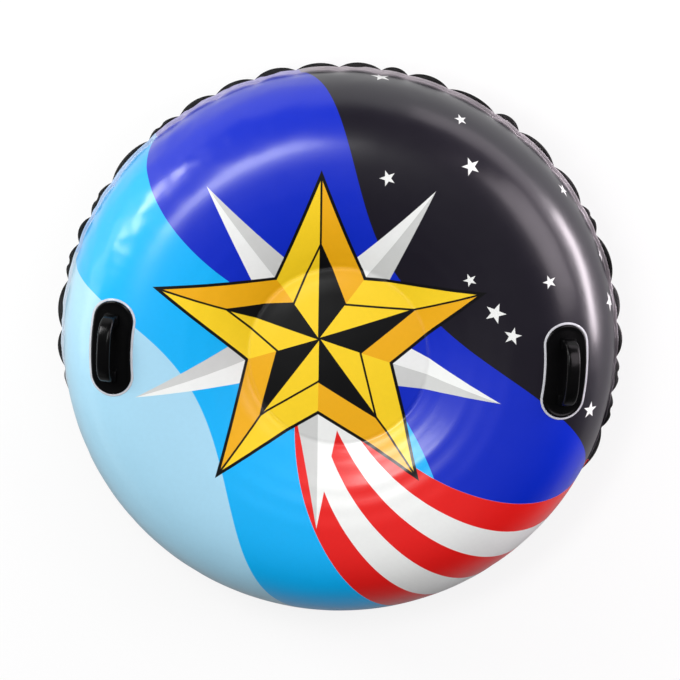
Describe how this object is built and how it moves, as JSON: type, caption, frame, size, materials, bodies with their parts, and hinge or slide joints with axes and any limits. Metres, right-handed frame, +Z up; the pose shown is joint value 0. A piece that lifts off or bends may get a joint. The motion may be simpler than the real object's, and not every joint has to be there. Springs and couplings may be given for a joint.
{
  "type": "snow tube",
  "caption": "Round inflatable snow tube with a dished seat, a scalloped welded rim, a moulded grip on each side and a screw-in air valve underneath.",
  "frame": {"origin": "on the ground under the tube's centre, with the tube inflated and lying on its underside", "axes": "+Z up through the seat; the grips are on the X axis, right grip at +X"},
  "size_m": [0.99, 0.9872, 0.2822],
  "materials": {
    "printed_film": "gloss",
    "under_film": "satin",
    "baffle_film": "satin",
    "black_moulding": "gloss",
    "clear_film": "gloss",
    "doubler_film": "satin",
    "valve_plastic": "satin",
    "seal_rubber": "matte",
    "silicone": "satin"
  },
  "bodies": {
    "tube": {"top_sheet": "printed_film", "bottom_sheet": "under_film", "seat_baffle": "baffle_film", "right_handle_base": "black_moulding", "left_handle_base": "black_moulding", "right_grip": "black_moulding", "left_grip": "black_moulding", "right_handle_weld_edge": "clear_film", "left_handle_weld_edge": "clear_film", "right_handle_doubler": "doubler_film", "left_handle_doubler": "doubler_film", "valve_socket": "valve_plastic"},
    "seal": {"valve_seal": "seal_rubber"},
    "insert": {"valve_insert": "valve_plastic", "cap_tether": "valve_plastic"},
    "mushroom": {"check_mushroom": "silicone"},
    "cap": {"valve_cap": "valve_plastic"}
  },
  "joints": [
    {"name": "insert_travel", "type": "slide", "parent": "tube", "child": "seal", "axis": [0, 0, -1], "range_m": [0, 0.005]},
    {"name": "insert_turn", "type": "hinge", "parent": "seal", "child": "insert", "pos_m": [0, 0, 0.0377], "axis": [0, 0, -1], "range_deg": [0, 450]},
    {"name": "check_lift", "type": "slide", "parent": "insert", "child": "mushroom", "axis": [0, 0, 1], "range_m": [0, 0.0015]},
    {"name": "cap_swing", "type": "hinge", "parent": "insert", "child": "cap", "pos_m": [0.0132, 0, 0.03], "axis": [0, -1, 0], "range_deg": [0, 135]}
  ],
  "couplings": [
    {"joint": "insert_travel", "follows": "insert_turn", "m_per_rad": 0.000636}
  ]
}
